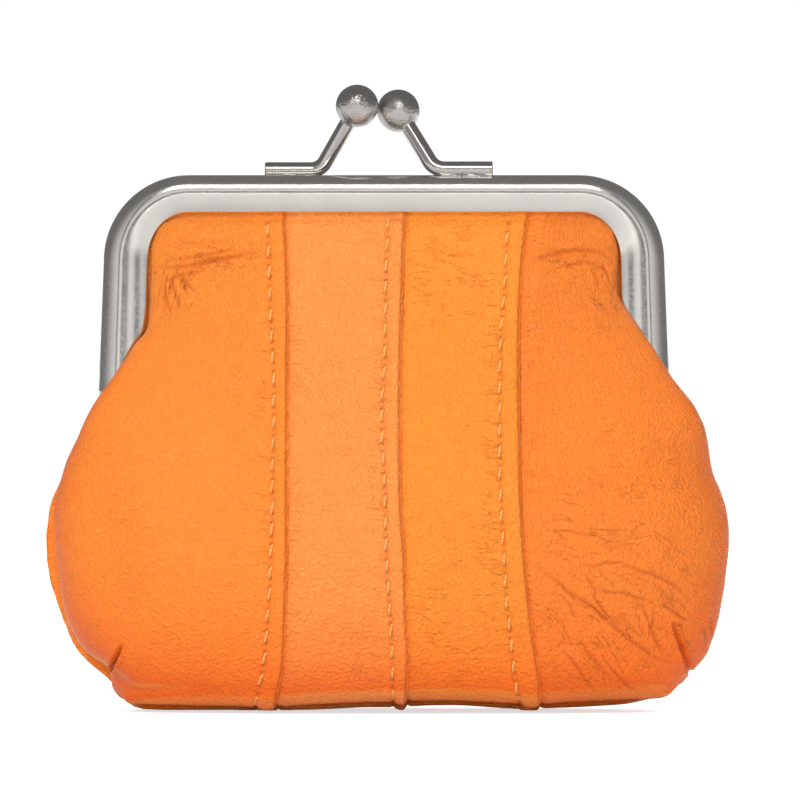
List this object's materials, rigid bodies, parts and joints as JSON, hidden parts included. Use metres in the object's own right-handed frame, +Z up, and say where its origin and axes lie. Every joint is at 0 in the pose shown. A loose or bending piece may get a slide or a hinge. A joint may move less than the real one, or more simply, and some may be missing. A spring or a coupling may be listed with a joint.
{
  "type": "kiss-lock coin purse",
  "caption": "Small leather coin purse of lapped strips on a hinged metal channel frame with a kiss-lock ball clasp.",
  "frame": {"origin": "on the surface that the purse stands on, under the middle of its box", "axes": "+X across the frame towards the viewer's right, +Y from the front towards the rear, +Z up through the clasp"},
  "size_m": [0.0962, 0.0376, 0.0883],
  "materials": {
    "gunmetal": "polished dark nickel plate on steel",
    "binding_cord": "twisted brown paper",
    "leather_outer_left": "soft orange nappa with a fine grain",
    "leather_inner_left": "soft light orange nappa with a fine grain",
    "leather_inner_right": "soft orange nappa with a creased grain",
    "leather_outer_right": "soft deep orange nappa with a creased grain",
    "lining": "plain woven charcoal lining"
  },
  "bodies": {
    "pouch": {"front_panel_outer_left": "leather_outer_left", "front_panel_inner_left": "leather_inner_left", "front_panel_inner_right": "leather_inner_right", "front_panel_outer_right": "leather_outer_right", "rear_panel_outer_left": "leather_outer_left", "rear_panel_inner_left": "leather_inner_left", "rear_panel_inner_right": "leather_inner_right", "rear_panel_outer_right": "leather_outer_right", "pocket_lining": "lining", "left_hinge_rivet": "gunmetal", "right_hinge_rivet": "gunmetal"},
    "front_half": {"front_frame": "gunmetal", "front_clasp_stem": "gunmetal", "front_clasp_ball": "gunmetal", "front_binding_cord": "binding_cord", "front_mouth_outer_left": "leather_outer_left", "front_mouth_inner_left": "leather_inner_left", "front_mouth_inner_right": "leather_inner_right", "front_mouth_outer_right": "leather_outer_right", "front_mouth_lining": "lining"},
    "rear_half": {"rear_frame": "gunmetal", "rear_clasp_stem": "gunmetal", "rear_clasp_ball": "gunmetal", "rear_binding_cord": "binding_cord", "rear_mouth_outer_left": "leather_outer_left", "rear_mouth_inner_left": "leather_inner_left", "rear_mouth_inner_right": "leather_inner_right", "rear_mouth_outer_right": "leather_outer_right", "rear_mouth_lining": "lining"}
  },
  "joints": [
    {"name": "front_hinge", "type": "hinge", "parent": "pouch", "child": "front_half", "pos_m": [0, 0, 0.042], "axis": [1, 0, 0], "range_deg": [0, 45], "deforming": ["front_mouth_outer_left", "front_mouth_inner_left", "front_mouth_inner_right", "front_mouth_outer_right", "front_mouth_lining", "front_panel_outer_left", "front_panel_inner_left", "front_panel_inner_right", "front_panel_outer_right", "pocket_lining"]},
    {"name": "rear_hinge", "type": "hinge", "parent": "pouch", "child": "rear_half", "pos_m": [0, 0, 0.042], "axis": [1, 0, 0], "range_deg": [-45, 0], "deforming": ["rear_mouth_outer_left", "rear_mouth_inner_left", "rear_mouth_inner_right", "rear_mouth_outer_right", "rear_mouth_lining", "rear_panel_outer_left", "rear_panel_inner_left", "rear_panel_inner_right", "rear_panel_outer_right"]}
  ],
  "couplings": [
    {"joint": "rear_hinge", "follows": "front_hinge", "ratio": -1}
  ]
}
